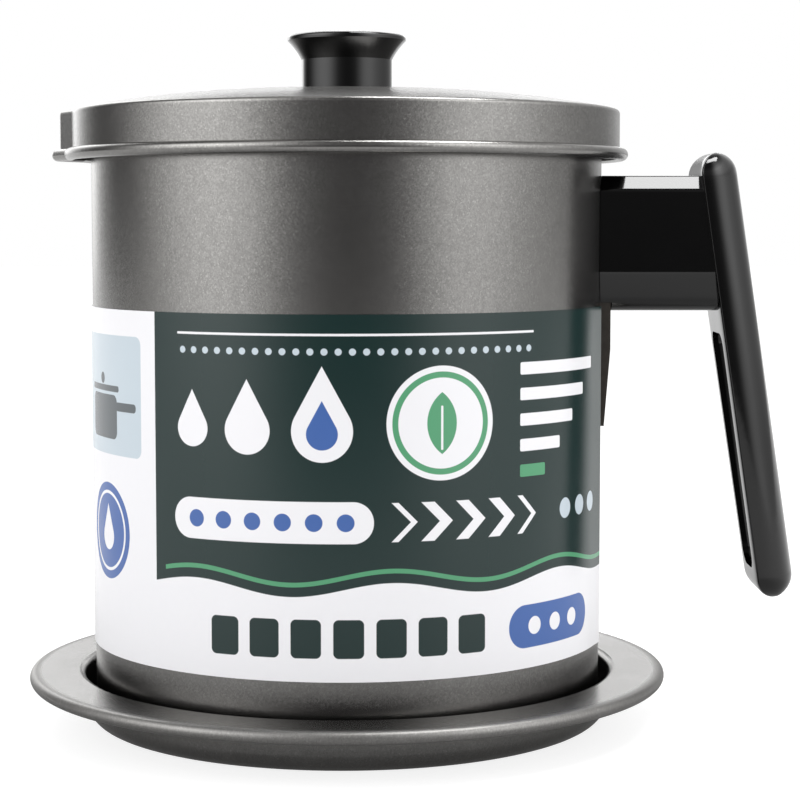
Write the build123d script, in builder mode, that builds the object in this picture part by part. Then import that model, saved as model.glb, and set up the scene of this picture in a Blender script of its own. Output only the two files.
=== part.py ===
from build123d import *
from math import cos, radians, sin
import os

# Oil-strainer pot: a coated steel can with a pour lip, a lift-out strainer, a lid with a
# knob, a moulded side handle and a drip tray.
# Millimetres, +Z up. The origin is on the can's axis at the underside of the drip tray.
# The handle points to +X and the pour lip to -X.

# ---- driving dimensions: drip tray ----
tray_wall = 0.6            # coated steel sheet
tray_clearance = 1.1       # tray's upright inside face to the can, at the floor
tray_draft = 1.5           # how much wider the upright is at its top
tray_corner = 4.0          # inside radius between floor and upright
tray_height = 12.3         # top of the flange
tray_flange_width = 11.2   # flat stretch of the flange
tray_root_radius = 1.2     # between upright and flange
tray_curl_radius = 1.5     # outside radius of the rolled edge

# ---- driving dimensions: can ----
pot_radius = 60.0
pot_wall = 0.6
pot_height = 141.7         # can's underside to the crest of its rolled rim
pot_corner = 4.0           # outside radius at the bottom
rim_curl_radius = 1.4      # outside radius of the rolled rim
lip_reach = 4.4            # pour lip's tip beyond the can's wall, at the rim
lip_half_angle = 7.0       # of the can's circumference, in degrees
lip_height = 9.0           # how far below the rim the lip starts
lip_tip_radius = 5.0
lip_start_share = 0.25     # width of the lip where it starts, of its width at the rim
spout_root_radius = 1.8    # where a pour lip or its cover leaves the round

# ---- driving dimensions: paper band ----
band_thickness = 0.25
band_glue_gap = 0.05
band_bottom = 19.1         # above the can's underside
band_height = 78.6
band_gap_half_angle = 13.3 # half of the opening at the handle, in degrees

# ---- driving dimensions: strainer ----
strainer_wall = 0.5
strainer_clearance = 1.4   # cup's side to the can's inside
strainer_seat_gap = 0.2    # flange to the crest of the rolled rim
strainer_depth = 36.0
strainer_overhang = 0.4    # flange beyond the rolled rim
strainer_fillet = 1.5
mesh_ledge = 6.5           # ledge that carries the mesh
mesh_thickness = 0.4
mesh_fit = 1.2             # mesh and clamp ring to the cup's side
clamp_ring_thickness = 0.8
clamp_ring_width = 5.0
clamp_ring_edge = 0.3

# ---- driving dimensions: lid ----
lid_wall = 0.6
lid_clearance = 1.0        # skirt's inside to the strainer's flange
lid_seat_gap = 0.35        # lid's underside to the strainer's flange, at its edge
lid_skirt_height = 10.5    # lid's edge to the middle of its hem
lid_edge_radius = 1.1
lid_crown = 4.4            # rise from the lid's edge to its middle
lid_hem_radius = 1.45
lid_hem_offset = 0.5       # hem's middle outside the skirt's face
lid_spout_reach = 4.0
lid_spout_half_angle = 7.5
lid_spout_tip_radius = 3.0

# ---- driving dimensions: knob and its fixings ----
knob_stem_radius = 10.6
knob_stem_height = 7.4
knob_cap_radius = 13.9
knob_cap_height = 11.9     # seat to the cap's thin edge
knob_height = 14.0
knob_edge_height = 1.1
knob_edge_radius = 0.8
knob_flare_sag = 0.25       # how far the flare below the cap curves in
insert_radius = 3.5
insert_length = 9.0
insert_waist_radius = 2.9
screw_radius = 2.0         # both screws are M4
thread_gap = 0.03          # between a screw and its tapped hole
screw_hole_gap = 0.25      # between a screw and a plain hole
screw_head_radius = 3.8
screw_head_height = 2.4
screw_bevel = 0.6
screw_slot_width = 1.0
screw_slot_depth = 1.1
washer_radius = 3.9
washer_thickness = 0.9
washer_split_angle = 12.0  # opening of a spring washer, in degrees
knob_screw_length = 8.5

# ---- driving dimensions: handle ----
boss_bottom = 96.4         # above the can's underside
boss_height = 31.5
boss_depth = 23.0          # along Y
boss_chamfer = 3.5         # along the top edges
boss_flank_height = 9.0    # sloping flank along the bottom edges
boss_flank_inset = 2.4
boss_bottom_radius = 3.5
boss_bite = 1.5            # how far the boss runs into the grip
boss_seat_gap = 0.1        # boss to the can's wall
grip_lean = 8.6            # foot of the grip stands out from the can, in degrees
grip_inner_reach = 27.0    # can's wall to the grip's inner face, at the boss's bottom
grip_thickness = 9.8
grip_top_rise = 4.7        # above the boss
grip_length = 106.2
grip_top_width = 25.4
grip_bottom_width = 20.9
grip_shoulder = 3.0        # height of the grip's sides before its back rounds over
grip_shoulder_radius = 3.6
grip_inner_radius = 1.0
grip_end_margin = 0.5      # rounding of its ends starts this far outside its faces
grip_corner_radius = 7.0   # corners of its outline, seen from the side away from the can
pocket_depth = 4.6
pocket_rim = 3.6
pocket_top_gap = 5.5       # boss's bottom to the pocket
pocket_bottom_gap = 7.0    # grip's foot to the pocket
pocket_corner = 3.5

# ---- driving dimensions: handle bracket ----
bracket_thickness = 1.8
bracket_width = 18.0
bracket_tail = 27.0        # below the boss
bracket_tail_taper = 18.0
bracket_tail_thickness = 0.4
bracket_rise = 15.6        # above the boss's bottom, to the tongue's top
tongue_thickness = 2.0
tongue_width = 12.0
tongue_length = 18.0
tongue_corner = 3.0
bracket_gap = 0.3          # bracket to the boss's pocket
handle_screw_reach = 10.0  # can's wall to the handle screw
handle_screw_cover = 4.2   # how deep its head sits in the boss
handle_screw_run = 5.0     # beyond the tongue

# ---- places worked out from them ----
pot_base = tray_wall
pot_inner = pot_radius - pot_wall
rim_top = pot_base + pot_height
rim_outer = pot_radius - pot_wall + 2 * rim_curl_radius
strainer_seat = rim_top + strainer_seat_gap
strainer_edge = rim_outer + strainer_overhang
strainer_outer = pot_inner - strainer_clearance
strainer_bottom = strainer_seat - strainer_depth
lid_radius = strainer_edge + lid_clearance + lid_wall
lid_edge_z = strainer_seat + strainer_wall + lid_seat_gap + lid_wall
knob_seat = lid_edge_z + lid_crown
tray_upright = pot_radius + tray_clearance
boss_base = pot_base + boss_bottom
boss_top = boss_base + boss_height
grip_top = boss_top + grip_top_rise
grip_inner_x = pot_radius + grip_inner_reach

os.makedirs("parts", exist_ok=True)


def finish(builder, name):
    """Label a finished piece and write it."""
    builder.part.label = name
    export_step(builder.part, f"parts/{name}.step")


def spout_outline(radius, reach, half_angle, tip_radius):
    """A circle with a rounded V pointing to -X."""
    with BuildSketch() as outline:
        with BuildLine():
            round_part = CenterArc((0, 0), radius, half_angle - 180, 360 - 2 * half_angle)
            Polyline(round_part @ 1, (-(radius + reach), 0), round_part @ 0)
        make_face()
        corners = outline.vertices().sort_by(Axis.X)
        fillet(corners[1:3], spout_root_radius)
        fillet(outline.vertices().sort_by(Axis.X)[0], tip_radius)
    return outline.sketch


# ---- drip tray: floor, upright, flat flange and a rolled edge, all one sheet ----
with BuildPart() as drip_tray:
    with BuildSketch(Plane.XZ):
        with BuildLine():
            half_sheet = tray_wall / 2
            flange_z = tray_height - half_sheet
            foot_x = tray_upright + half_sheet
            top_x = foot_x + tray_draft
            flange_end = top_x + tray_flange_width
            FilletPolyline(
                (0, half_sheet),
                (foot_x, half_sheet),
                (top_x, flange_z),
                (flange_end, flange_z),
                radius=(tray_corner + half_sheet, tray_root_radius),
            )
            curl = tray_curl_radius - half_sheet
            CenterArc((flange_end, flange_z - curl), curl, 90, -270)
        trace(line_width=tray_wall)
    revolve(axis=Axis.Z)
finish(drip_tray, "drip_tray")

# ---- can: drawn shell with a rolled rim, and a V-shaped pour lip pushed out at -X ----
def lip_sections(inset):
    """V-shaped sections under the pour lip, from the can's wall up to the rim."""
    sections = []
    stages = (
        (rim_top - lip_height, 0.0, lip_start_share),
        (rim_top - rim_curl_radius, lip_reach, 1.0),
    )
    for height, reach, share in stages:
        half_width = pot_radius * sin(radians(lip_half_angle)) * share
        root_x = inset - pot_radius * cos(radians(lip_half_angle * share))
        back_x = root_x + lip_tip_radius
        with BuildSketch(Plane.XY.offset(height)) as section:
            with BuildLine():
                Polyline(
                    (back_x, half_width),
                    (root_x, half_width),
                    (inset - pot_radius - reach, 0),
                    (root_x, -half_width),
                    (back_x, -half_width),
                    close=True,
                )
            make_face()
            fillet(section.vertices().sort_by(Axis.X)[0], lip_tip_radius * share)
        sections.append(section.sketch)
    return sections


with BuildPart() as pot_body:
    wall_top = rim_top - rim_curl_radius
    with BuildSketch(Plane.XZ):
        with BuildLine():
            half_sheet = pot_wall / 2
            wall_x = pot_radius - half_sheet
            FilletPolyline(
                (0, pot_base + half_sheet),
                (wall_x, pot_base + half_sheet),
                (wall_x, wall_top),
                radius=pot_corner - half_sheet,
            )
        trace(line_width=pot_wall)
    revolve(axis=Axis.Z)
    loft(lip_sections(0), ruled=True)
    with BuildSketch(Plane.XY.offset(pot_base + pot_corner)):
        Circle(pot_inner)
    extrude(until=Until.LAST, mode=Mode.SUBTRACT)
    loft(lip_sections(pot_wall), ruled=True, mode=Mode.SUBTRACT)
    rim_path = spout_outline(pot_inner + rim_curl_radius, lip_reach, lip_half_angle, lip_tip_radius)
    rim_line = Plane.XY.offset(wall_top) * rim_path.wire()
    with BuildSketch(Plane(rim_line @ 0, z_dir=rim_line % 0)):
        Circle(rim_curl_radius)
    sweep(path=rim_line)
finish(pot_body, "pot_body")

# ---- paper band: one wrap of printed card, open at the handle ----
with BuildPart() as paper_band:
    with BuildSketch(Plane.XY.offset(pot_base + band_bottom)):
        with BuildLine():
            band_radius = pot_radius + band_glue_gap + band_thickness / 2
            CenterArc((0, 0), band_radius, band_gap_half_angle, 360 - 2 * band_gap_half_angle)
        trace(line_width=band_thickness)
    extrude(amount=band_height)
finish(paper_band, "paper_band")

# ---- strainer: pressed cup whose flange hangs on the rim, mesh disc, clamp ring ----
with BuildPart() as strainer_cup:
    with BuildSketch(Plane.XZ):
        with BuildLine():
            half_sheet = strainer_wall / 2
            side_x = strainer_outer - half_sheet
            FilletPolyline(
                (strainer_edge, strainer_seat + half_sheet),
                (side_x, strainer_seat + half_sheet),
                (side_x, strainer_bottom + half_sheet),
                (strainer_outer - mesh_ledge, strainer_bottom + half_sheet),
                radius=strainer_fillet,
            )
        trace(line_width=strainer_wall)
    revolve(axis=Axis.Z)
finish(strainer_cup, "strainer_cup")

mesh_radius = strainer_outer - strainer_wall - mesh_fit
mesh_seat = strainer_bottom + strainer_wall
with BuildPart() as strainer_mesh:
    with BuildSketch(Plane.XY.offset(mesh_seat)):
        Circle(mesh_radius)
    extrude(amount=mesh_thickness)
finish(strainer_mesh, "strainer_mesh")

with BuildPart() as strainer_mesh_ring:
    with BuildSketch(Plane.XY.offset(mesh_seat + mesh_thickness)):
        Circle(mesh_radius)
        Circle(mesh_radius - clamp_ring_width, mode=Mode.SUBTRACT)
    extrude(amount=clamp_ring_thickness)
    top_edges = strainer_mesh_ring.edges().group_by(Axis.Z)[-1]
    fillet(top_edges, clamp_ring_edge)
finish(strainer_mesh_ring, "strainer_mesh_ring")

# ---- lid: shallow dome, upright skirt with a bulge over the pour lip, rolled hem ----
lid_hem_z = lid_edge_z - lid_skirt_height


def lid_form(inset, bottom):
    """The lid as a solid, shrunk all round by inset."""
    skirt = spout_outline(
        lid_radius - inset, lid_spout_reach, lid_spout_half_angle, lid_spout_tip_radius
    )
    with BuildPart() as form:
        with BuildSketch(Plane.XY.offset(bottom)):
            add(skirt)
        extrude(amount=lid_edge_z - inset - bottom)
        fillet(form.faces().sort_by(Axis.Z)[-1].edges(), lid_edge_radius - inset)
        with BuildSketch(Plane.XZ):
            with BuildLine():
                dome_radius = lid_radius - lid_edge_radius
                dome_foot = lid_edge_z - inset
                crown = Line((0, dome_foot + lid_crown), (knob_cap_radius, dome_foot + lid_crown))
                slope = TangentArc(crown @ 1, (dome_radius, dome_foot), tangent=crown % 1)
                Polyline(slope @ 1, (dome_radius, dome_foot - lid_wall), (0, dome_foot - lid_wall))
                Line((0, dome_foot - lid_wall), crown @ 0)
            make_face()
        revolve(axis=Axis.Z)
    return form.part


lid_outside = lid_form(0, lid_hem_z)
lid_inside = lid_form(lid_wall, lid_hem_z - 2 * lid_hem_radius)
with BuildPart() as lid:
    add(lid_outside)
    hem_path = spout_outline(
        lid_radius + lid_hem_offset, lid_spout_reach, lid_spout_half_angle, lid_spout_tip_radius
    )
    hem_line = Plane.XY.offset(lid_hem_z) * hem_path.wire()
    with BuildSketch(Plane(hem_line @ 0, z_dir=hem_line % 0)):
        Circle(lid_hem_radius)
    sweep(path=hem_line)
    add(lid_inside, mode=Mode.SUBTRACT)
    with Locations((0, 0, knob_seat)):
        Hole(screw_radius + screw_hole_gap, depth=2 * lid_wall)
finish(lid, "lid")


# ---- fixings: an M4 pan-head screw and its spring washer, both pointing up ----
def machine_screw(head_bottom, centre_x, length):
    """Pan head with a slot at the bottom, plain shank above it."""
    with BuildSketch(Plane((centre_x, 0, 0), x_dir=(1, 0, 0), z_dir=(0, -1, 0))) as half:
        with BuildLine():
            head_top = head_bottom + screw_head_height
            tip = head_top + length
            Polyline(
                (0, head_bottom),
                (screw_head_radius - screw_bevel, head_bottom),
                (screw_head_radius, head_bottom + screw_bevel),
                (screw_head_radius, head_top),
                (screw_radius, head_top),
                (screw_radius, tip - screw_bevel),
                (screw_radius - screw_bevel, tip),
                (0, tip),
                close=True,
            )
        make_face()
    revolve(half.sketch, axis=Axis((centre_x, 0, 0), (0, 0, 1)))
    with Locations((centre_x, 0, head_bottom)):
        Box(
            3 * screw_head_radius,
            screw_slot_width,
            2 * screw_slot_depth,
            mode=Mode.SUBTRACT,
        )


def spring_washer(bottom, centre_x):
    """Flat split ring."""
    with BuildSketch(Plane((centre_x, 0, bottom))) as ring:
        with BuildLine():
            hole_radius = screw_radius + screw_hole_gap
            mid_radius = (hole_radius + washer_radius) / 2
            CenterArc((0, 0), mid_radius, washer_split_angle, 360 - 2 * washer_split_angle)
        trace(line_width=washer_radius - hole_radius)
    extrude(ring.sketch, amount=washer_thickness)


washer_bottom = knob_seat - lid_wall - washer_thickness
with BuildPart() as knob_lock_washer:
    spring_washer(washer_bottom, 0)
finish(knob_lock_washer, "knob_lock_washer")

with BuildPart() as knob_screw:
    machine_screw(washer_bottom - screw_head_height, 0, knob_screw_length)
finish(knob_screw, "knob_screw")

# ---- knob: black moulding round a waisted, tapped insert ----
with BuildPart() as knob_insert:
    with BuildSketch(Plane.XZ):
        with BuildLine():
            tapped = screw_radius + thread_gap
            third = insert_length / 3
            Polyline(
                (tapped, knob_seat),
                (insert_radius, knob_seat),
                (insert_radius, knob_seat + third),
                (insert_waist_radius, knob_seat + third),
                (insert_waist_radius, knob_seat + 2 * third),
                (insert_radius, knob_seat + 2 * third),
                (insert_radius, knob_seat + insert_length),
                (tapped, knob_seat + insert_length),
                close=True,
            )
        make_face()
    revolve(axis=Axis.Z)
finish(knob_insert, "knob_insert")

with BuildPart() as knob:
    with BuildSketch(Plane.XZ) as knob_profile:
        with BuildLine():
            stem_top = knob_seat + knob_stem_height
            cap_edge = knob_seat + knob_cap_height
            cap_top = cap_edge + knob_edge_height
            Polyline((0, knob_seat), (knob_stem_radius, knob_seat), (knob_stem_radius, stem_top))
            SagittaArc((knob_stem_radius, stem_top), (knob_cap_radius, cap_edge), knob_flare_sag)
            Line((knob_cap_radius, cap_edge), (knob_cap_radius, cap_top))
            middle = Line((0, knob_seat), (0, knob_seat + knob_height))
            TangentArc(middle @ 1, (knob_cap_radius, cap_top), tangent=(1, 0))
        make_face()
        rim = knob_profile.vertices().group_by(Axis.X)[-1].sort_by(Axis.Y)[-1]
        fillet(rim, knob_edge_radius)
    revolve(axis=Axis.Z)
    with BuildSketch(Plane.XY.offset(knob_seat)):
        Circle(screw_radius + thread_gap)
    extrude(amount=insert_length, mode=Mode.SUBTRACT)
    add(knob_insert.part, mode=Mode.SUBTRACT)
finish(knob, "knob")

# ---- handle bracket: strap welded to the can, bent out into a tapped tongue ----
bracket_top = boss_base + bracket_rise
bracket_foot = boss_base - bracket_tail
tongue_bottom = bracket_top - tongue_thickness
screw_x = pot_radius + handle_screw_reach
with BuildPart() as handle_bracket:
    with BuildSketch(Plane.XZ):
        with BuildLine():
            strap_face = pot_radius + bracket_thickness
            strap_back = (pot_radius**2 - (bracket_width / 2) ** 2) ** 0.5
            Polyline(
                (strap_back, bracket_foot),
                (pot_radius + bracket_tail_thickness, bracket_foot),
                (strap_face, bracket_foot + bracket_tail_taper),
                (strap_face, bracket_top),
                (strap_back, bracket_top),
                close=True,
            )
        make_face()
    extrude(amount=bracket_width / 2, both=True)
    with BuildSketch(Plane.XY.offset(tongue_bottom)):
        with Locations((strap_back, 0)):
            Rectangle(
                strap_face + tongue_length - strap_back,
                tongue_width,
                align=(Align.MIN, Align.CENTER),
            )
    extrude(amount=tongue_thickness)
    tongue_end = handle_bracket.faces().sort_by(Axis.X)[-1]
    fillet(tongue_end.edges().filter_by(Axis.Z), tongue_corner)
    with BuildSketch(Plane.XY):
        Circle(pot_radius)
    extrude(amount=rim_top, mode=Mode.SUBTRACT)
    with Locations((screw_x, 0, bracket_top)):
        Hole(screw_radius + thread_gap, depth=2 * tongue_thickness)
finish(handle_bracket, "handle_bracket")

# ---- handle: boss and leaning grip in one moulding, cored out towards the can ----
lean = radians(grip_lean)
grip_up = Vector(-sin(lean), 0, cos(lean))
grip_out = Vector(cos(lean), 0, sin(lean))
grip_rise = (grip_top - boss_base) / cos(lean)
grip_head = Vector(grip_inner_x, 0, boss_base) + grip_up * grip_rise


def across_grip(below_head):
    """Plane across the grip, with its Y direction pointing away from the can."""
    return Plane(grip_head - grip_up * below_head, x_dir=(0, -1, 0), z_dir=grip_up)


def grip_width(below_head):
    """Width of the tapering grip at a distance below its head."""
    return grip_top_width + (grip_bottom_width - grip_top_width) * below_head / grip_length


def grip_section(below_head):
    """D-shaped section: flat towards the can, round at the back."""
    with BuildSketch(across_grip(below_head)) as section:
        with BuildLine():
            side = grip_width(below_head) / 2
            Polyline((-side, grip_shoulder), (-side, 0), (side, 0), (side, grip_shoulder))
            ThreePointArc((side, grip_shoulder), (0, grip_thickness), (-side, grip_shoulder))
        make_face()
        fillet(section.vertices().group_by(Axis.Y)[-1], grip_shoulder_radius)
        fillet(section.vertices().group_by(Axis.Y)[0], grip_inner_radius)
    return section.sketch


def pocket_section(below_head):
    """Rectangle that the pocket shows across the grip."""
    with BuildSketch(across_grip(below_head)) as section:
        Rectangle(grip_width(below_head) - 2 * pocket_rim, 2 * pocket_depth)
    return section.sketch


pocket_top = grip_rise + pocket_top_gap
pocket_bottom = grip_length - pocket_bottom_gap
with BuildPart() as pocket:
    loft((pocket_section(pocket_bottom), pocket_section(pocket_top)), ruled=True)
    inwards = [edge for edge in pocket.edges() if abs((edge % 0.5).dot(grip_out)) > 0.99]
    fillet(inwards, pocket_corner)

with BuildPart() as grip:
    loft((grip_section(grip_length), grip_section(0)), ruled=True)
    grip_middle = grip_head - grip_up * (grip_length / 2) + grip_out * (grip_thickness / 2)
    with BuildSketch(Plane(grip_middle, x_dir=(1, 0, 0), z_dir=(0, -1, 0))):
        SlotOverall(grip_length, grip_thickness + 2 * grip_end_margin, rotation=90 + grip_lean)
    extrude(amount=grip_top_width, both=True, mode=Mode.INTERSECT)
    with BuildSketch(Plane(grip_middle, x_dir=(0, -1, 0), z_dir=grip_out)) as outline:
        with BuildLine():
            end = grip_length / 2 + grip_end_margin
            top_side = grip_top_width / 2 + grip_end_margin
            bottom_side = grip_bottom_width / 2 + grip_end_margin
            Polyline(
                (bottom_side, -end),
                (top_side, end),
                (-top_side, end),
                (-bottom_side, -end),
                close=True,
            )
        make_face()
        fillet(outline.vertices(), grip_corner_radius)
    extrude(amount=grip_thickness, both=True, mode=Mode.INTERSECT)

with BuildPart() as handle:
    with BuildSketch(Plane.YZ) as boss_profile:
        with BuildLine():
            side = boss_depth / 2
            flank_foot = side - boss_flank_inset
            Polyline(
                (side - boss_chamfer, boss_top),
                (side, boss_top - boss_chamfer),
                (side, boss_base + boss_flank_height),
                (flank_foot, boss_base),
                (-flank_foot, boss_base),
                (-side, boss_base + boss_flank_height),
                (-side, boss_top - boss_chamfer),
                (boss_chamfer - side, boss_top),
                close=True,
            )
        make_face()
        fillet(boss_profile.vertices().group_by(Axis.Y)[0], boss_bottom_radius)
    extrude(amount=grip_inner_x + grip_thickness)
    split(bisect_by=Plane(grip_head + grip_out * boss_bite, z_dir=grip_out), keep=Keep.BOTTOM)
    with BuildSketch(Plane.XY):
        Circle(pot_radius + boss_seat_gap)
    extrude(amount=rim_top, mode=Mode.SUBTRACT)
    add(grip.part)
    add(pocket.part, mode=Mode.SUBTRACT)
    # Room for the bracket's strap and tongue, and for the screw that comes up from below.
    strap_room = bracket_thickness + bracket_gap
    with BuildSketch(Plane.XY.offset(boss_base)):
        with Locations((pot_radius + strap_room, 0)):
            Rectangle(bracket_width, bracket_width + 2 * bracket_gap, align=(Align.MAX, Align.CENTER))
    extrude(amount=bracket_rise + bracket_gap, mode=Mode.SUBTRACT)
    with BuildSketch(Plane.XY.offset(tongue_bottom - bracket_gap)):
        with Locations((pot_radius, 0)):
            Rectangle(
                strap_room + tongue_length,
                tongue_width + 2 * bracket_gap,
                align=(Align.MIN, Align.CENTER),
            )
    extrude(amount=tongue_thickness + 2 * bracket_gap, mode=Mode.SUBTRACT)
    with BuildSketch(Plane.XY.offset(boss_base)):
        with Locations((screw_x, 0)):
            Circle(washer_radius + screw_hole_gap)
    extrude(amount=handle_screw_cover, mode=Mode.SUBTRACT)
    with BuildSketch(Plane.XY.offset(boss_base)):
        with Locations((screw_x, 0)):
            Circle(screw_radius + screw_hole_gap)
    extrude(amount=bracket_rise + handle_screw_run + bracket_gap, mode=Mode.SUBTRACT)
finish(handle, "handle")

# ---- handle's screw and spring washer, in the counterbore under the boss ----
washer_seat = boss_base + handle_screw_cover - washer_thickness
with BuildPart() as handle_lock_washer:
    spring_washer(washer_seat, screw_x)
finish(handle_lock_washer, "handle_lock_washer")

with BuildPart() as handle_screw:
    shank = bracket_top + handle_screw_run - washer_seat
    machine_screw(washer_seat - screw_head_height, screw_x, shank)
finish(handle_screw, "handle_screw")
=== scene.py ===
from math import atan2, cos, pi, radians, sin, sqrt
import bpy
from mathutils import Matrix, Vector


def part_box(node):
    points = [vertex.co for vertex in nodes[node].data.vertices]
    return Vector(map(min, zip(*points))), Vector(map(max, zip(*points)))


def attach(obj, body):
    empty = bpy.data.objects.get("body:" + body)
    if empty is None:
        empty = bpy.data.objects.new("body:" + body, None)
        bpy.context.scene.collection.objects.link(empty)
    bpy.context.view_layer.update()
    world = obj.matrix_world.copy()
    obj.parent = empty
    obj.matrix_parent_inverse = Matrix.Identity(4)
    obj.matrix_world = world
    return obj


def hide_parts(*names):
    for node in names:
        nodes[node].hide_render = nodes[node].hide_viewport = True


# An oil-strainer pot: coated steel can, tray and lid, black moulded knob and side handle, and a
# printed paper band. Metres, +Z up, handle to +X, pour lip to -X.

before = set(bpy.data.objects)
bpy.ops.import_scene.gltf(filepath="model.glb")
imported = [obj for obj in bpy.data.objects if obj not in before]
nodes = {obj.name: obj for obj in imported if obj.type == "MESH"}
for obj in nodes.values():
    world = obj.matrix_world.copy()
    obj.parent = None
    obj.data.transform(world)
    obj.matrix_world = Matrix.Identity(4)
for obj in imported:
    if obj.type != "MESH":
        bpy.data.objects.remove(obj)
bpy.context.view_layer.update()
bpy.ops.object.select_all(action="DESELECT")

# ---- Camera ----
# It stands half a metre in front of the pot, level with the handle, and looks slightly down. Its
# lens is a long one, so that the can's sides stay nearly upright.
camera_place = (0.01254, -0.5258, 0.1178)
camera_tilt = radians(85.39)         # up from straight down
bpy.ops.object.camera_add(location=camera_place, rotation=(camera_tilt, 0, 0))
camera = bpy.context.object
camera.name = "camera"
camera.data.lens = 99.44
camera.data.sensor_width = 36
bpy.context.scene.camera = camera
bpy.context.scene.view_settings.view_transform = "Standard"


# ---- Studio ----
# A white table, a white background, a soft box overhead and another far behind. The room's own
# light is brightest to the left and right in front of the pot, and darkest round the camera.
class Wire:
    """One value in a finish. Sums, products and curves of it are written as Python."""

    def __init__(self, finish, socket):
        self.finish = finish
        self.socket = socket

    def maths(self, operation, *values):
        values = dict(enumerate(values))
        return self.finish.node("ShaderNodeMath", {"operation": operation}, values)

    def __add__(self, other):
        return self.maths("ADD", self, other)

    def __sub__(self, other):
        return self.maths("SUBTRACT", self, other)

    def __rsub__(self, other):
        return self.maths("SUBTRACT", other, self)

    def __mul__(self, other):
        return self.maths("MULTIPLY", self, other)

    def __neg__(self):
        return self.maths("MULTIPLY", self, -1)

    def __abs__(self):
        return self.maths("ABSOLUTE", self)

    def root(self):
        return self.maths("SQRT", self)

    def sine(self):
        return self.maths("SINE", self)

    def at_least(self, other):
        return self.maths("MAXIMUM", self, other)

    def at_most(self, other):
        return self.maths("MINIMUM", self, other)

    def wrap(self, high, low):
        """The value brought between two limits by whole steps from one to the other."""
        return self.maths("WRAP", self, high, low)

    def turn_from(self, ahead):
        """The angle to a point that lies this far aside and that far ahead."""
        return self.maths("ARCTAN2", self, ahead)

    __radd__ = __add__
    __rmul__ = __mul__


class Finish:
    """The nodes of one surface finish, or of the room's light."""

    def __init__(self, name, kept_in="materials"):
        self.owner = getattr(bpy.data, kept_in).new(name)
        self.owner.use_nodes = True
        self.tree = self.owner.node_tree
        self.tree.nodes.clear()

    def node(self, kind, settings=None, values=None, output=0):
        """Add one node: its settings, then its sockets' values or links. Returns an output."""
        node = self.tree.nodes.new(kind)
        for name, value in (settings or {}).items():
            if name == "stops":
                self.set_stops(node.color_ramp.elements, value)
            elif name == "interpolation":
                node.color_ramp.interpolation = value
            else:
                setattr(node, name, value)
        for name, value in (values or {}).items():
            if isinstance(value, Wire):
                self.tree.links.new(value.socket, node.inputs[name])
            else:
                node.inputs[name].default_value = value
        return Wire(self, node.outputs[output]) if node.outputs else None

    def set_stops(self, elements, stops):
        """Fill a ramp, which comes with two stops, from (position, brightness)."""
        for position, light in stops[1:-1]:
            elements.new(position)
        for element, (position, light) in zip(elements, stops):
            element.position = position
            element.color = (light, light, light, 1)

    def vector(self, operation, values, output="Vector"):
        """A sum or a measure of vectors."""
        return self.node("ShaderNodeVectorMath", {"operation": operation}, values, output)

    def axis(self, vector, letter):
        """One of the three numbers in a vector."""
        return self.node("ShaderNodeSeparateXYZ", {}, {"Vector": vector}, letter)

    def blend(self, value, low, high, curve="SMOOTHSTEP"):
        """How far a value has come from low to high, from 0 to 1."""
        values = {"Value": value, "From Min": low, "From Max": high}
        return self.node("ShaderNodeMapRange", {"interpolation_type": curve}, values)

    def between(self, low, high, share):
        """A mix of two colours."""
        factor, first, second, result = 0, 6, 7, 2    # sockets that a mix of colours uses
        values = {factor: share, first: low, second: high}
        return self.node("ShaderNodeMix", {"data_type": "RGBA"}, values, result)

    def place(self):
        """Where a point lies on the object, in metres."""
        return self.node("ShaderNodeTexCoord", output="Object")

    def noise(self, grain, detail=2.0):
        """Soft random values from 0 to 1, with a grain of that many millimetres."""
        values = {"Vector": self.place(), "Scale": 1000 / grain, "Detail": detail}
        return self.node("ShaderNodeTexNoise", {}, values)

    def bump(self, height, rise):
        """The normal over a surface that rises by that many millimetres where height is 1."""
        return self.node("ShaderNodeBump", {}, {"Height": height, "Distance": rise / 1000})

    def surface(self, values):
        """Close the finish with its surface, and return its material."""
        surface = self.node("ShaderNodeBsdfPrincipled", {}, values)
        self.node("ShaderNodeOutputMaterial", {}, {"Surface": surface})
        return self.owner


# How bright the room is round the pot, by the angle from the camera's side round to the right,
# and how that changes with the height a ray points to, from the table's level to straight up.
room_light = (
    (-180, 0.32), (-168, 0.45), (-156, 3.00), (-144, 1.05), (-128, 0.05), (-112, 0.12),
    (-100, 0.38), (-88, 1.15), (-76, 1.90), (-64, 2.30), (-52, 2.28), (-42, 1.82),
    (-32, 1.04), (-20, 0.26), (0, 0.10), (22, 0.16), (34, 0.90), (44, 1.70),
    (56, 2.05), (68, 1.85), (80, 1.30), (94, 0.92), (108, 0.62), (124, 0.48),
    (140, 0.42), (160, 0.80), (170, 0.75), (180, 0.32),
)
height_light = (
    (-0.10, 0.75), (0.0, 0.80), (0.05, 1.08), (0.13, 1.15), (0.24, 1.05), (0.36, 1.55),
    (0.60, 1.95), (0.80, 0.90), (1.00, 0.50),
)
round_limit, height_limit = 3.0, 2.0     # what each is divided by to fit a ramp, which ends at 1

sky = Finish("studio", "worlds")
bpy.context.scene.world = sky.owner
toward = sky.node("ShaderNodeTexCoord", output="Generated")
bearing = sky.axis(toward, "X").turn_from(-sky.axis(toward, "Y"))
round_stops = [(degrees / 360 + 0.5, light / round_limit) for degrees, light in room_light]
round_light = sky.node(
    "ShaderNodeValToRGB",
    {"interpolation": "B_SPLINE", "stops": round_stops},
    {"Fac": sky.blend(bearing, -pi, pi, "LINEAR")},
)
lowest = height_light[0][0]
climb_stops = [
    ((height - lowest) / (1 - lowest), light / height_limit) for height, light in height_light
]
climb_light = sky.node(
    "ShaderNodeValToRGB",
    {"interpolation": "LINEAR", "stops": climb_stops},
    {"Fac": sky.blend(sky.axis(toward, "Z"), lowest, 1, "LINEAR")},
)
glow = round_light * climb_light * (round_limit * height_limit)
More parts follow.
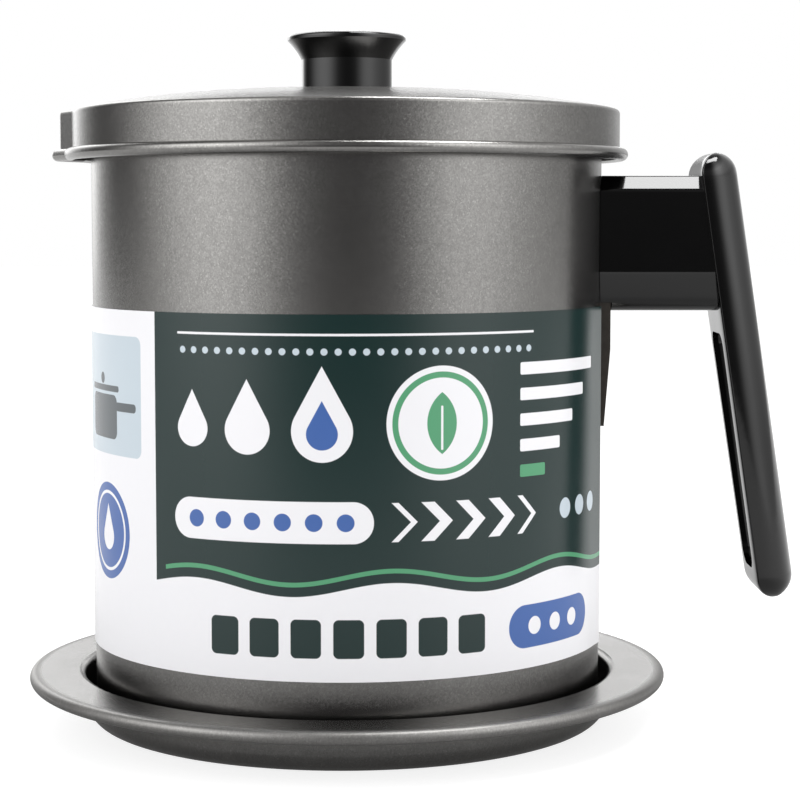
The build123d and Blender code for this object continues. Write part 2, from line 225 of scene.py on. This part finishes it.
# The camera itself never sees less than white.
to_camera = sky.node("ShaderNodeLightPath", output="Is Camera Ray")
room = sky.node(
    "ShaderNodeBackground", {}, {"Color": (1, 1, 1, 1), "Strength": glow.at_least(to_camera)}
)
sky.node("ShaderNodeOutputWorld", {}, {"Surface": room})


def soft_box(name, place, aim, width, height, brightness):
    """A rectangular lamp whose face is as bright as asked, whatever its size."""
    bpy.ops.object.light_add(type="AREA", location=place)
    box = bpy.context.object
    box.name = name
    box.data.shape = "RECTANGLE"
    box.data.size = width
    box.data.size_y = height
    box.data.energy = brightness * pi * width * height
    box.rotation_euler = (Vector(aim) - Vector(place)).to_track_quat("-Z", "Y").to_euler()


soft_box(
    "box_overhead", place=(0.29, 0, 1.0), aim=(0.22, 0, 0.1), width=0.32, height=0.48, brightness=14
)
soft_box("box_behind", place=(-0.1, 6.0, 1.34), aim=(0, 0, 0), width=3.0, height=0.60, brightness=2)


def grey(level):
    """A grey as a colour."""
    return (level, level, level, 1)


# The table ends a little way in front of the pot, and fades to white away from it. It glows as
# painted light, and the pot mirrors it dimmer than the camera sees, with painted shade round the
# pot.
table_radius = 3.0
table_back = 2.4                     # how far behind the pot its middle lies
bpy.ops.mesh.primitive_circle_add(
    vertices=96, radius=table_radius, fill_type="NGON", location=(0, table_back, 0)
)
table = bpy.context.object
table.name = "table"
paint = Finish("table_top")
from_pot = paint.vector("DISTANCE", {0: paint.place(), 1: (0, -table_back, 0)}, "Value")
fade = paint.blend(from_pot, 0.2, 1.6)
# The table's glow as the pot mirrors it: painted shade near the pot, brighter clear of it.
painted_shade_near_pot, clear_of_pot = 0.10, 0.48     # how bright the pot mirrors the table
mirrored = painted_shade_near_pot + paint.blend(from_pot, 0.12, 0.26) * (clear_of_pot - painted_shade_near_pot)
seen = paint.node("ShaderNodeLightPath", output="Is Camera Ray")
near_light = paint.between(mirrored, grey(0.82), seen)
table_top = paint.surface(
    {
        "Base Color": paint.between(grey(0.30), grey(0), fade),
        "Roughness": 0.6,
        "Specular IOR Level": 0.1,
        "Emission Color": paint.between(near_light, grey(1), fade),
        "Emission Strength": 1.0,
    }
)
table.data.materials.append(table_top)

# ---- Drip tray ----
# Pressed from 0.6 mm steel with a wide flat flange and a rolled edge. It has the grey
# fluororesin coating of the can and lid: satin, with fine metal flecks.
mm = 0.001
coat_dark = (0.165, 0.161, 0.156, 1)
coat_light = (0.300, 0.295, 0.285, 1)
# The next colour is painted shade, mixed into the can's coat towards its foot inside the tray.
coat_painted_shade = (0.030, 0.029, 0.028, 1)
fleck_size = 0.30                    # mm
fleck_lean = 0.035                   # how far a fleck's own face leans, as a part of its width
bright_flecks, bright_gain = 0.07, 14    # the part of the flecks that stand out, and how much
coat_roughness = 0.22
edge_blend, edge_roughness = 2 * mm, 0.20
foot_blend, foot_share = 10 * mm, 0.45


def coating(name, rolled_edge=None, foot=None):
    """The grey coat: rougher past a rolled edge's radius, and painted shade below a foot's height.
    """
    coat = Finish(name)
    place = coat.place()
    fleck = coat.node(
        "ShaderNodeTexVoronoi", {}, {"Vector": place, "Scale": 1000 / fleck_size}, "Color"
    )
    tilt = coat.vector("SUBTRACT", {0: fleck, 1: (0.5, 0.5, 0.5)})
    lean_in = coat.vector("SCALE", {0: tilt, "Scale": fleck_lean})
    skin = coat.bump(coat.noise(0.8), 0.006)
    fleck_normal = coat.vector("NORMALIZE", {0: coat.vector("ADD", {0: skin, 1: lean_in})})
    sparkle = coat.node("ShaderNodeSeparateColor", {}, {"Color": fleck}, "Blue")
    bright_fleck = ((sparkle - (1 - bright_flecks)) * bright_gain).at_least(0)
    grain = sparkle * 0.30 + coat.noise(2.6) * 0.25 + coat.noise(14.0) * 0.20 + bright_fleck * 0.2
    colour = coat.between(coat_dark, coat_light, grain)
    roughness = coat_roughness + coat.noise(22.0) * 0.05
    if rolled_edge:
        level_place = coat.vector("MULTIPLY", {0: place, 1: (1, 1, 0)})
        from_axis = coat.vector("LENGTH", {0: level_place}, "Value")
        on_edge = coat.blend(from_axis, rolled_edge - edge_blend, rolled_edge)
        roughness = roughness + on_edge * edge_roughness
    # Painted shade: the colour darkens towards the foot.
    if foot:
        above_foot = coat.blend(coat.axis(place, "Z"), foot - foot_blend, foot)
        share = foot_share + above_foot * (1 - foot_share)
        colour = coat.between(coat_painted_shade, colour, share)
    return coat.surface(
        {"Base Color": colour, "Metallic": 1.0, "Roughness": roughness, "Normal": fleck_normal}
    )


def dress(node, material):
    """Give a piece its finish."""
    node.data.materials.clear()
    node.data.materials.append(material)


tray_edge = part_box("drip_tray")[1].x - 1 * mm
dress(nodes["drip_tray"], coating("coated_steel_tray", rolled_edge=tray_edge))

# ---- Can ----
# Drawn from 0.6 mm steel, with a rolled rim and a pour lip. It is coated inside and out. Below the
# paper band its coat is darkened towards the foot: painted shade, where the tray shades it.
can_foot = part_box("paper_band")[0].z + 2 * mm
dress(nodes["pot_body"], coating("coated_steel_can", foot=can_foot))

# ---- Handle bracket ----
# A steel strap welded to the can, with a tongue that runs out into the handle. Its coat is
# thinner and darker than the can's.
strap_dark = (0.030, 0.026, 0.022, 1)
strap_light = (0.060, 0.052, 0.045, 1)
strap = Finish("bracket_steel")
bracket_steel = strap.surface(
    {
        "Base Color": strap.between(strap_dark, strap_light, strap.noise(1.4)),
        "Metallic": 0.6,
        "Roughness": 0.40 + strap.noise(6.0) * 0.15,
        "Normal": strap.bump(strap.noise(0.6), 0.03),
    }
)
dress(nodes["handle_bracket"], bracket_steel)

# ---- Handle ----
# Black phenolic, moulded in one piece: a boss that slips over the bracket, and a leaning grip
# that is flat and cored out towards the can, round at the back and at both ends.
corner_angle = radians(35)           # where two faces meet at more than this, they stay a corner
hair = 0.01 * mm                     # less than any two edges lie apart


def edit(piece):
    """Select one piece alone and open its mesh, with all of it selected."""
    bpy.ops.object.select_all(action="DESELECT")
    piece.select_set(True)
    bpy.context.view_layer.objects.active = piece
    bpy.ops.object.mode_set(mode="EDIT")
    bpy.ops.mesh.select_all(action="SELECT")


def close(piece, modifiers=()):
    """Leave the mesh, apply modifiers given as (kind, settings), and smooth all but corners."""
    bpy.ops.object.mode_set(mode="OBJECT")
    for kind, settings in modifiers:
        modifier = piece.modifiers.new(kind.lower(), kind)
        for name, value in settings.items():
            setattr(modifier, name, value)
        bpy.ops.object.modifier_apply(modifier=modifier.name)
    bpy.ops.object.shade_smooth_by_angle(angle=corner_angle)


def pick_edges(piece, wanted):
    """Select the edges whose two ends make wanted(first, second) true."""
    bpy.ops.mesh.select_all(action="DESELECT")
    bpy.ops.object.mode_set(mode="OBJECT")
    points = piece.data.vertices
    for edge in piece.data.edges:
        first, second = (points[index].co for index in edge.vertices)
        edge.select = wanted(first, second)
    bpy.ops.object.mode_set(mode="EDIT")


def round_edges(piece, wanted, size, segments):
    """Bevel the edges that are wanted by a size in millimetres."""
    pick_edges(piece, wanted)
    bpy.ops.mesh.bevel(offset=size * mm, segments=segments)


def narrow(piece, wanted, share):
    """Bring the edges that are wanted in towards the handle's middle plane."""
    pick_edges(piece, wanted)
    bpy.ops.transform.resize(value=(1, 1 - share, 1), center_override=(0, 0, 0))


def block(name, low, high):
    """A cube primitive stretched between two corners, given in millimetres."""
    low, high = Vector(low) * mm, Vector(high) * mm
    bpy.ops.mesh.primitive_cube_add(size=1)
    piece = bpy.context.object
    piece.name = name
    edit(piece)
    bpy.ops.transform.resize(value=high - low, center_override=(0, 0, 0))
    bpy.ops.transform.translate(value=(low + high) / 2)
    bpy.ops.object.mode_set(mode="OBJECT")
    return piece


def drill(radius, low, high, x=0):
    """An upright cylinder to cut with, in millimetres."""
    bpy.ops.mesh.primitive_cylinder_add(
        vertices=64 if radius < 10 else 384,
        radius=radius * mm,
        depth=(high - low) * mm,
        location=(x * mm, 0, (low + high) / 2 * mm),
    )
    return bpy.context.object


def combine(piece, other, operation):
    """Join another solid to a piece, or cut it out, and use it up."""
    edit(piece)
    close(piece, [("BOOLEAN", {"operation": operation, "object": other, "solver": "EXACT"})])
    bpy.data.objects.remove(other)


# The boss, square to the can: chamfered along its top, sloping in and rounded along its bottom.
# It starts inside the can and ends inside the grip, and both cut it back.
boss_low, boss_high = 97.0, 128.5
boss_root, boss_end = 55, 100
boss_side = 11.5
boss_chamfer = 3.3
boss_round = 3.5
flank_top = boss_low + 9.0
flank_inset = 2.4
handle = block(
    "handle_moulding", (boss_root, -boss_side, boss_low), (boss_end, boss_side, boss_high)
)
edit(handle)
bpy.ops.mesh.bisect(plane_co=(0, 0, flank_top * mm), plane_no=(0, 0, 1))
boss_bottom = (boss_low + 0.1) * mm
narrow(handle, lambda a, b: a.z == b.z and a.z < boss_bottom, flank_inset / boss_side)


def along(level):
    """Picks the edges that run out from the can at a height."""
    return lambda a, b: abs(a.z - level * mm) < hair and abs(a.z - b.z) < hair and a.x != b.x


round_edges(handle, along(boss_low), boss_round, 8)
round_edges(handle, along(boss_high), boss_chamfer, 1)
round_edges(handle, along(boss_high), 0.4, 3)
round_edges(handle, along(boss_high - boss_chamfer), 0.5, 3)
round_edges(handle, along(flank_top), 0.4, 2)
bpy.ops.object.mode_set(mode="OBJECT")

# The grip: a D-shaped ring drawn down its length, narrowing to both ends.
grip_lean = radians(8.6)
grip_length = 106.2
grip_thickness = 9.8
head_width, foot_width = 25.4, 20.9
side_round, face_round = 6.0, 5.2    # how far its ends round over, across it and through it
inner_edge = 1.3
back_power, front_power = 2.15, 8.0  # 2 is a half circle, and more is squarer
head_z = boss_high + 4.7
boss_reach = 87.0                    # the grip's inner face under the boss, from the can's axis
grip_inner_x = boss_reach - (head_z - boss_low) * sin(grip_lean) / cos(grip_lean)
near_end = (0.007, 0.05, 0.2, 0.5, 1.0, 1.7, 2.5, 3.4, 4.3, 5.2, 6.0)
stations = near_end + tuple(grip_length - step for step in reversed(near_end))
bpy.ops.mesh.primitive_circle_add(vertices=96, radius=mm)
grip = bpy.context.object
edit(grip)
for last, station in zip(stations, stations[1:]):
    bpy.ops.mesh.extrude_region_move(
        TRANSFORM_OT_translate={"value": (0, 0, (last - station) * mm)}
    )
bpy.ops.object.mode_set(mode="OBJECT")


def lost(to_end, reach):
    """How much of its full size the grip has lost at a distance from its end."""
    return 1 - sqrt(1 - (1 - min(to_end / reach, 1)) ** 2)


for point in grip.data.vertices:
    down = stations[0] - point.co.z / mm
    angle = atan2(point.co.y, point.co.x)
    power = back_power if angle > 0 else front_power
    to_end = min(down, grip_length - down)
    width = head_width + (foot_width - head_width) * down / grip_length
    width -= 2 * side_round * lost(to_end, side_round)
    depth = grip_thickness * (1 - lost(to_end, face_round))
    edge = min(inner_edge, depth / 3)
    aside = abs(cos(angle)) ** (2 / power) * width / 2
    out = abs(sin(angle)) ** (2 / power) * (depth - edge if angle > 0 else -edge)
    out += (grip_thickness - depth) / 2 + edge
    point.co = (out * mm, aside * mm if cos(angle) > 0 else -aside * mm, -down * mm)
edit(grip)
for end in (stations[0], stations[-1]):
    pick_edges(grip, lambda a, b: max(abs(a.z + end * mm), abs(b.z + end * mm)) < hair)
    bpy.ops.mesh.edge_face_add()
bpy.ops.mesh.select_all(action="SELECT")
bpy.ops.mesh.normals_make_consistent(inside=False)
bpy.ops.object.mode_set(mode="OBJECT")
grip_head = Vector((grip_inner_x, 0, head_z)) * mm


def lean_out(piece):
    """Stand a piece that was made from the grip's head down along the leaning grip."""
    bpy.ops.object.select_all(action="DESELECT")
    piece.select_set(True)
    piece.location = grip_head
    piece.rotation_euler = (0, -grip_lean, 0)
    bpy.ops.object.transform_apply(location=True, rotation=True, scale=True)


lean_out(grip)
# The boss runs this far into the grip, to a plane that leans with it.
boss_overlap = 1.5 * mm
edit(handle)
bpy.ops.mesh.bisect(
    plane_co=grip_head + Vector((boss_overlap, 0, 0)),
    plane_no=(cos(grip_lean), 0, sin(grip_lean)),
    use_fill=True,
    clear_outer=True,
)
bpy.ops.object.mode_set(mode="OBJECT")
combine(handle, grip, "UNION")

# The pocket that cores the grip out: as long and wide as leaves a rim, with round corners.
pocket_head = (head_z - boss_low) / cos(grip_lean) + 5.5
pocket_foot = grip_length - 7.5
pocket_side = head_width / 2 - 4.4
pocket_depth = 4.6
pocket_taper = 1.5
pocket = block(
    "pocket",
    (-pocket_depth, -pocket_side, -pocket_foot),
    (pocket_depth, pocket_side, -pocket_head),
)
edit(pocket)
foot_end, floor = -(pocket_foot - 0.1) * mm, (pocket_depth - 0.1) * mm
narrow(pocket, lambda a, b: max(a.z, b.z) < foot_end, pocket_taper / pocket_side)
round_edges(pocket, lambda a, b: a.x != b.x, 3.5, 8)
round_edges(pocket, lambda a, b: min(a.x, b.x) > floor, 0.6, 3)
bpy.ops.object.mode_set(mode="OBJECT")
lean_out(pocket)
combine(handle, pocket, "DIFFERENCE")

# Room for the can, for the bracket's strap and tongue, and for the screw's head and shank.
under, over = 90, 140                # past the boss, below and above
rebate_top = 112.9
screw_x = 70
hollows = (
    drill(60.1, under, over),
    block("strap_room", (50, -9.3, under), (62.1, 9.3, rebate_top)),
    block("tongue_room", (58, -6.3, 110.3), (80.1, 6.3, rebate_top)),
    drill(4.15, under, 101.2, screw_x),
    drill(2.25, 95, 117.9, screw_x),
)
for hollow in hollows:
    combine(handle, hollow, "DIFFERENCE")
# Its flat faces stay flat in the light, and only the small rounds between them turn.
weigh = handle.modifiers.new("weigh", "WEIGHTED_NORMAL")
weigh.keep_sharp = True
bpy.ops.object.modifier_apply(modifier=weigh.name)

black = (0.0006, 0.0006, 0.0007, 1)
black_flow = (0.0018, 0.0017, 0.0018, 1)
moulding = Finish("phenolic")
flow = moulding.noise(9.0, 3.0)
phenolic = moulding.surface(
    {
        "Base Color": moulding.between(black, black_flow, flow),
        "Roughness": 0.07 + moulding.noise(2.2, 4.0) * 0.05,
        "IOR": 1.5,
        "Normal": moulding.bump(flow, 0.02),
    }
)
dress(handle, phenolic)
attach(handle, "pot")
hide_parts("handle")

# ---- Handle screw and spring washer ----
# Zinc-plated steel, up through the boss into the bracket's tongue. The knob's screw and its
# washer, up through the lid, are plated alike.
zinc_dark = (0.52, 0.52, 0.54, 1)
zinc_light = (0.70, 0.70, 0.70, 1)
plate = Finish("zinc_plate")
zinc_plate = plate.surface(
    {
        "Base Color": plate.between(zinc_dark, zinc_light, plate.noise(1.0)),
        "Metallic": 1.0,
        "Roughness": 0.28 + plate.noise(0.5) * 0.15,
        "Normal": plate.bump(plate.noise(0.3), 0.01),
    }
)
for name in ("handle_screw", "handle_lock_washer", "knob_screw", "knob_lock_washer"):
    dress(nodes[name], zinc_plate)

# ---- Paper band ----
# Coated card, 0.25 mm thick, printed and wrapped round the can, and open at the handle, where its
# two ends curl away a little. It carries plain drops, bars, rings and dots, and no words.
band_low, band_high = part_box("paper_band")
card_thickness = 0.25 * mm
band_radius = band_high.y - card_thickness / 2
band_opening = radians(13.3)         # half of it, each side of the handle
curl_length = radians(7)
curl_lift = 0.5 * mm
bpy.ops.mesh.primitive_plane_add(size=1)
band = bpy.context.object
band.name = "paper_band_card"
edit(band)
bpy.ops.mesh.merge(type="COLLAPSE")
bpy.ops.object.mode_set(mode="OBJECT")
corner = band.data.vertices[0]
corner.co = (band_radius * cos(band_opening), -band_radius * sin(band_opening), band_low.z)
edit(band)
bpy.ops.mesh.extrude_region_move(
    TRANSFORM_OT_translate={"value": (0, 0, band_high.z - band_low.z)}
)
bpy.ops.mesh.select_all(action="SELECT")
bpy.ops.mesh.spin(
    steps=300, angle=2 * (pi - band_opening), center=(0, 0, 0), axis=(0, 0, 1)
)
bpy.ops.mesh.select_all(action="SELECT")
bpy.ops.mesh.remove_doubles(threshold=0.001 * mm)
bpy.ops.mesh.normals_make_consistent(inside=False)
bpy.ops.object.mode_set(mode="OBJECT")
for point in band.data.vertices:
    from_end = abs(atan2(point.co.y, point.co.x)) - band_opening
    curl = max(0, 1 - max(0, from_end) / curl_length) ** 2
    point.co.xy *= 1 + curl * curl_lift / band_radius
edit(band)
close(band, [("SOLIDIFY", {"thickness": card_thickness, "offset": 0})])

# The print is laid out in millimetres: across the card, from the middle of its front towards the
# handle, and up from the table. Each shape says how far a point lies outside it.
card = Finish("printed_card")
spot = card.place()
turn = card.axis(spot, "X").turn_from(-card.axis(spot, "Y"))
across = turn * (band_radius / mm)
up = card.axis(spot, "Z") * (1 / mm)
print_edge = 0.12                    # how wide an ink's edge is


def bar(middle, level, width, height, corner=0.4):
    """A bar with round corners."""
    beside = (abs(across - middle) - (width / 2 - corner)).at_least(0)
    above = (abs(up - level) - (height / 2 - corner)).at_least(0)
    return (beside * beside + above * above).root() - corner


def disc(middle, level, radius):
    """A disc."""
    beside = across - middle
    above = up - level
    return (beside * beside + above * above).root() - radius


def ring(middle, level, radius, width):
    """A ring, by the radius of its middle line."""
    return abs(disc(middle, level, radius)) - width / 2


def drop(middle, level, radius, tip=2.3):
    """A drop whose tip is that many radii above its middle."""
    above = up - level
    lean = 1 / tip
    cone = abs(across - middle) * sqrt(1 - lean * lean) + above * lean - radius
    return disc(middle, level, radius).at_most(cone.at_least(radius * lean - above))


def frame_bar(middle, level, width, height, line, corner=1.5):
    """The outline of a bar."""
    inside = bar(middle, level, width - 2 * line, height - 2 * line, corner)
    return bar(middle, level, width, height, corner).at_least(-inside)


def row(middle, level, pitch, count, radius):
    """A row of discs."""
    shift = across - middle - (0 if count % 2 else pitch / 2)
    nearest = shift.wrap(pitch / 2, -pitch / 2)
    above = up - level
    dots = (nearest * nearest + above * above).root() - radius
    return dots.at_least(abs(across - middle) - pitch * count / 2)


def ink(under, colour, outside):
    """Print a colour over what is under it, wherever a point isn't outside a shape."""
    values = {0: 0.5, 1: outside * (1 / print_edge)}
    cover = card.node("ShaderNodeMath", {"operation": "SUBTRACT", "use_clamp": True}, values)
    return card.between(under, colour, cover)


white = (0.885, 0.880, 0.905, 1)
white_fibre = (0.870, 0.866, 0.892, 1)
bottle = (0.0040, 0.0215, 0.0200, 1)
blue = (0.055, 0.130, 0.390, 1)
leaf_green = (0.085, 0.330, 0.165, 1)
mist = (0.560, 0.640, 0.700, 1)
slate = (0.110, 0.125, 0.135, 1)

# The dark field runs down to a wavy edge, with a green line just above it.
field_start, line_start = -45, -42
wave_level, wave_height, wave_length = 39.5, 1.5, 44
wave = wave_level + wave_height * (across * (2 * pi / wave_length)).sine()
green_line = abs(up - wave - 2.6) - 0.5
printed = card.between(white_fibre, white, card.noise(1.5))
printed = ink(printed, bottle, (wave - up).at_least(field_start - across))
printed = ink(printed, leaf_green, green_line.at_least(line_start - across))
# A rule and a row of dots along the top of the dark field.
printed = ink(printed, white, bar(4, 94.0, width=84, height=0.5, corner=0.2))
printed = ink(printed, mist, row(4, 90.4, pitch=3.0, count=28, radius=0.75))
# Three growing drops, of which the last is lined with blue, and a badge with a leaf.
for middle, radius in ((-34, 4.0), (-20.5, 5.2), (-4, 6.6)):
    printed = ink(printed, white, drop(middle, 73.5, radius, tip=2.1))
printed = ink(printed, blue, drop(-4, 72.9, 3.4, tip=2.1))
badge, badge_level = 22, 75.0
leaf_radius, leaf_shift = 8.2, 4.8
leaf_left = disc(badge + leaf_shift, badge_level, leaf_radius)
leaf_right = disc(badge - leaf_shift, badge_level, leaf_radius)
printed = ink(printed, white, disc(badge, badge_level, 12.3))
printed = ink(printed, leaf_green, ring(badge, badge_level, 10.4, width=1.3))
printed = ink(printed, leaf_green, leaf_right.at_least(leaf_left))
printed = ink(printed, white, bar(badge, badge_level - 1, width=0.5, height=9.5, corner=0.2))
# A ladder of bars beside them, each shorter than the last, and the lowest green.
for step in range(5):
    width = 30 - 5.5 * step
    rung = bar(42 + width / 2, 86 - 5.6 * step, width, height=2.7)
    printed = ink(printed, white if step < 4 else leaf_green, rung)
# A pill with a row of blue discs, arrowheads that point to the handle, and three discs.
pill_level = 54.0
printed = ink(printed, white, bar(-16, pill_level, width=46, height=9.0, corner=4.4))
printed = ink(printed, blue, row(-16, pill_level, pitch=6.8, count=6, radius=1.9))
arrows_middle, arrow_pitch, arrow_width, arrow_height, arrows_width = 31, 8.0, 3.0, 8.4, 32
from_pill = abs(up - pill_level)
slant = across - arrows_middle + from_pill
arrow = abs(slant.wrap(arrow_pitch / 2, -arrow_pitch / 2)) - arrow_width / 2
arrow_ends = (from_pill - arrow_height / 2).at_least(abs(slant) - arrows_width / 2)
printed = ink(printed, white, arrow.at_least(arrow_ends))
printed = ink(printed, mist, row(65, pill_level, pitch=7.0, count=3, radius=2.3))
# The white foot of the band: green blocks and a blue pill.
foot_level = 29.0
for step in range(7):
    square = bar(-26 + 9.2 * step, foot_level, width=6.6, height=8.4, corner=1.2)
    printed = ink(printed, bottle, square)
printed = ink(printed, blue, bar(54, foot_level, width=30, height=9.6, corner=4.7))
printed = ink(printed, white, row(54, foot_level, pitch=7.2, count=3, radius=2.0))
# The white side: a pan in a pale window, with its body, lid, lid's knob and handle, and a blue
# disc with a drop.
pan, seal, seal_level = -69, -66, 48.0
printed = ink(printed, mist, bar(-67, 79.0, width=34, height=27, corner=2.0))
printed = ink(printed, slate, bar(pan, 74.0, width=17, height=10, corner=1.8))
printed = ink(printed, slate, bar(pan, 80.4, width=19, height=1.4, corner=0.6))
printed = ink(printed, slate, disc(pan, 82.6, 1.3))
printed = ink(printed, slate, bar(pan + 12.5, 76.5, width=9, height=2.0, corner=0.9))
printed = ink(printed, blue, disc(seal, seal_level, 11.0))
printed = ink(printed, white, ring(seal, seal_level, 8.8, width=0.7))
printed = ink(printed, white, drop(seal, seal_level - 1.2, 3.2))
# Behind: a framed block of rules on the dark side, and four framed signs on the white side.
block_middle = 136
printed = ink(printed, white, frame_bar(block_middle, 68.0, width=56, height=40, line=0.7))
for step in range(6):
    indent = 2.5 * (step % 3)
    rule = bar(block_middle - indent, 82.0 - 5.6 * step, width=46 - 2 * indent, height=0.9)
    printed = ink(printed, mist, rule)
sign_level = 70.0
sign_places = [-118 - 16 * step for step in range(4)]
signs = (
    disc(sign_places[0], sign_level, 3.6),
    ring(sign_places[1], sign_level, 3.6, width=1.4),
    drop(sign_places[2], sign_level - 1, 3.0),
    bar(sign_places[3], sign_level, width=7, height=2.4),
)
for middle, sign in zip(sign_places, signs):
    window = frame_bar(middle, sign_level, width=13, height=13, line=0.6)
    printed = ink(printed, bottle, window)
    printed = ink(printed, leaf_green, sign)

printed_card = card.surface(
    {
        "Base Color": printed,
        "Roughness": 0.21 + card.noise(14.0) * 0.07,
        "IOR": 1.5,
        "Normal": card.bump(card.noise(0.5), 0.006),
    }
)
dress(band, printed_card)
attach(band, "pot")
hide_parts("paper_band")

# ---- Strainer ----
# A pressed cup with a ledge for its mesh, coated as the can. It hangs on the can's rim by its
# flange.
coated_steel = coating("coated_steel")
dress(nodes["strainer_cup"], coated_steel)

# ---- Strainer mesh ----
# Plain-woven stainless wire, over one and under one, and cut out round. It lies on the cup's ledge,
# where the clamp ring holds its cut edge.
mesh_low, mesh_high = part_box("strainer_mesh")
wire_radius = 0.1 * mm
wire_pitch = 1.0 * mm
wire_wave = 0.1 * mm                 # each wire's rise and fall from the mesh's middle
half_wires = 58                      # from the middle to the edge, and a little over
trimmed = 0.2 * mm                   # how far the wires' ends stay inside the mesh's edge
first_wire = -half_wires * wire_pitch
crest = (mesh_low.z + mesh_high.z) / 2 + wire_wave
bpy.ops.mesh.primitive_circle_add(
    vertices=4,
    radius=wire_radius,
    rotation=(0, pi / 2, 0),
    location=(first_wire, first_wire, crest),
)
bpy.ops.object.transform_apply(location=True, rotation=True, scale=True)
weave = bpy.context.object
weave.name = "strainer_woven_wire"


def repeat(step, joined):
    """An array of a piece along a step, half_wires times, with its ends joined or loose."""
    return "ARRAY", {
        "count": half_wires,
        "use_relative_offset": False,
        "use_constant_offset": True,
        "constant_offset_displace": step,
        "use_merge_vertices": joined,
        "merge_threshold": 0.01 * mm,
    }


# One wire: down under the first wire that it crosses and up over the next, all along.
edit(weave)
for climb in (-2 * wire_wave, 2 * wire_wave):
    bpy.ops.mesh.extrude_region_move(TRANSFORM_OT_translate={"value": (wire_pitch, 0, climb)})
close(weave, [repeat((2 * wire_pitch, 0, 0), joined=True)])
# The next wire is the same, one pitch along and one across, and the pair repeats.
edit(weave)
bpy.ops.mesh.duplicate_move(TRANSFORM_OT_translate={"value": (wire_pitch, wire_pitch, 0)})
close(weave, [repeat((0, 2 * wire_pitch, 0), joined=False)])
# The wires across them are a copy, turned a quarter and moved on by one pitch.
bpy.ops.object.select_all(action="DESELECT")
weave.select_set(True)
bpy.ops.object.duplicate()
cross_wires = bpy.context.object
cross_wires.rotation_euler.z = pi / 2
cross_wires.location.x = wire_pitch
bpy.ops.object.transform_apply(location=True, rotation=True, scale=True)
weave.select_set(True)
bpy.context.view_layer.objects.active = weave
bpy.ops.object.join()
# All are cut off round, and their ends closed.
edit(weave)
bpy.ops.mesh.select_all(action="DESELECT")
bpy.ops.object.mode_set(mode="OBJECT")
for point in weave.data.vertices:
    point.select = point.co.xy.length > mesh_high.x - trimmed
bpy.ops.object.mode_set(mode="EDIT")
bpy.ops.mesh.delete(type="VERT")
bpy.ops.mesh.select_all(action="SELECT")
bpy.ops.mesh.fill_holes(sides=4)
bpy.ops.mesh.select_all(action="SELECT")
bpy.ops.mesh.normals_make_consistent(inside=False)
bpy.ops.object.mode_set(mode="OBJECT")
bpy.ops.object.shade_smooth()

wire_dark = (0.42, 0.42, 0.41, 1)
wire_light = (0.66, 0.65, 0.63, 1)
drawn = Finish("woven_wire")
woven_wire = drawn.surface(
    {
        "Base Color": drawn.between(wire_dark, wire_light, drawn.noise(3.0)),
        "Metallic": 1.0,
        "Roughness": 0.20 + drawn.noise(0.7) * 0.18,
        "Normal": drawn.bump(drawn.noise(0.08), 0.003),
    }
)
dress(weave, woven_wire)
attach(weave, "strainer")
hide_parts("strainer_mesh")

# ---- Mesh clamp ring ----
# Pressed from bright stainless strip, and spot-welded through the mesh to the cup's ledge. It keeps
# the fine ring marks of its rolling.
stainless_dark = (0.50, 0.50, 0.49, 1)
stainless_light = (0.63, 0.62, 0.60, 1)
mark_width = 0.15                    # mm
spun = Finish("spun_stainless")
aside, ahead = (spun.axis(spun.place(), letter) for letter in "XY")
from_axis = (aside * aside + ahead * ahead).root()
ring_marks = spun.node(
    "ShaderNodeTexNoise",
    {"noise_dimensions": "1D"},
    {"W": from_axis * (1000 / mark_width), "Scale": 1.0},
)
spun_stainless = spun.surface(
    {
        "Base Color": spun.between(stainless_dark, stainless_light, ring_marks),
        "Metallic": 1.0,
        "Roughness": 0.22 + spun.noise(4.0) * 0.14,
        "Normal": spun.bump(ring_marks, 0.004),
    }
)
dress(nodes["strainer_mesh_ring"], spun_stainless)

# ---- Lid ----
# Pressed steel, coated as the can, with a bulge over the pour lip and a rolled hem. It rests on
# the strainer's flange.
dress(nodes["lid"], coated_steel)

# ---- Knob ----
# Black phenolic, as the handle, moulded round a turned brass insert. A screw from inside the lid
# goes up into the insert and holds it.
dress(nodes["knob"], phenolic)
brass_dark = (0.62, 0.40, 0.15, 1)
brass_light = (0.78, 0.56, 0.26, 1)
turned = Finish("turned_brass")
turned_brass = turned.surface(
    {
        "Base Color": turned.between(brass_dark, brass_light, turned.noise(1.2)),
        "Metallic": 1.0,
        "Roughness": 0.24 + turned.noise(0.4) * 0.12,
        "Normal": turned.bump(turned.noise(0.2), 0.006),
    }
)
dress(nodes["knob_insert"], turned_brass)
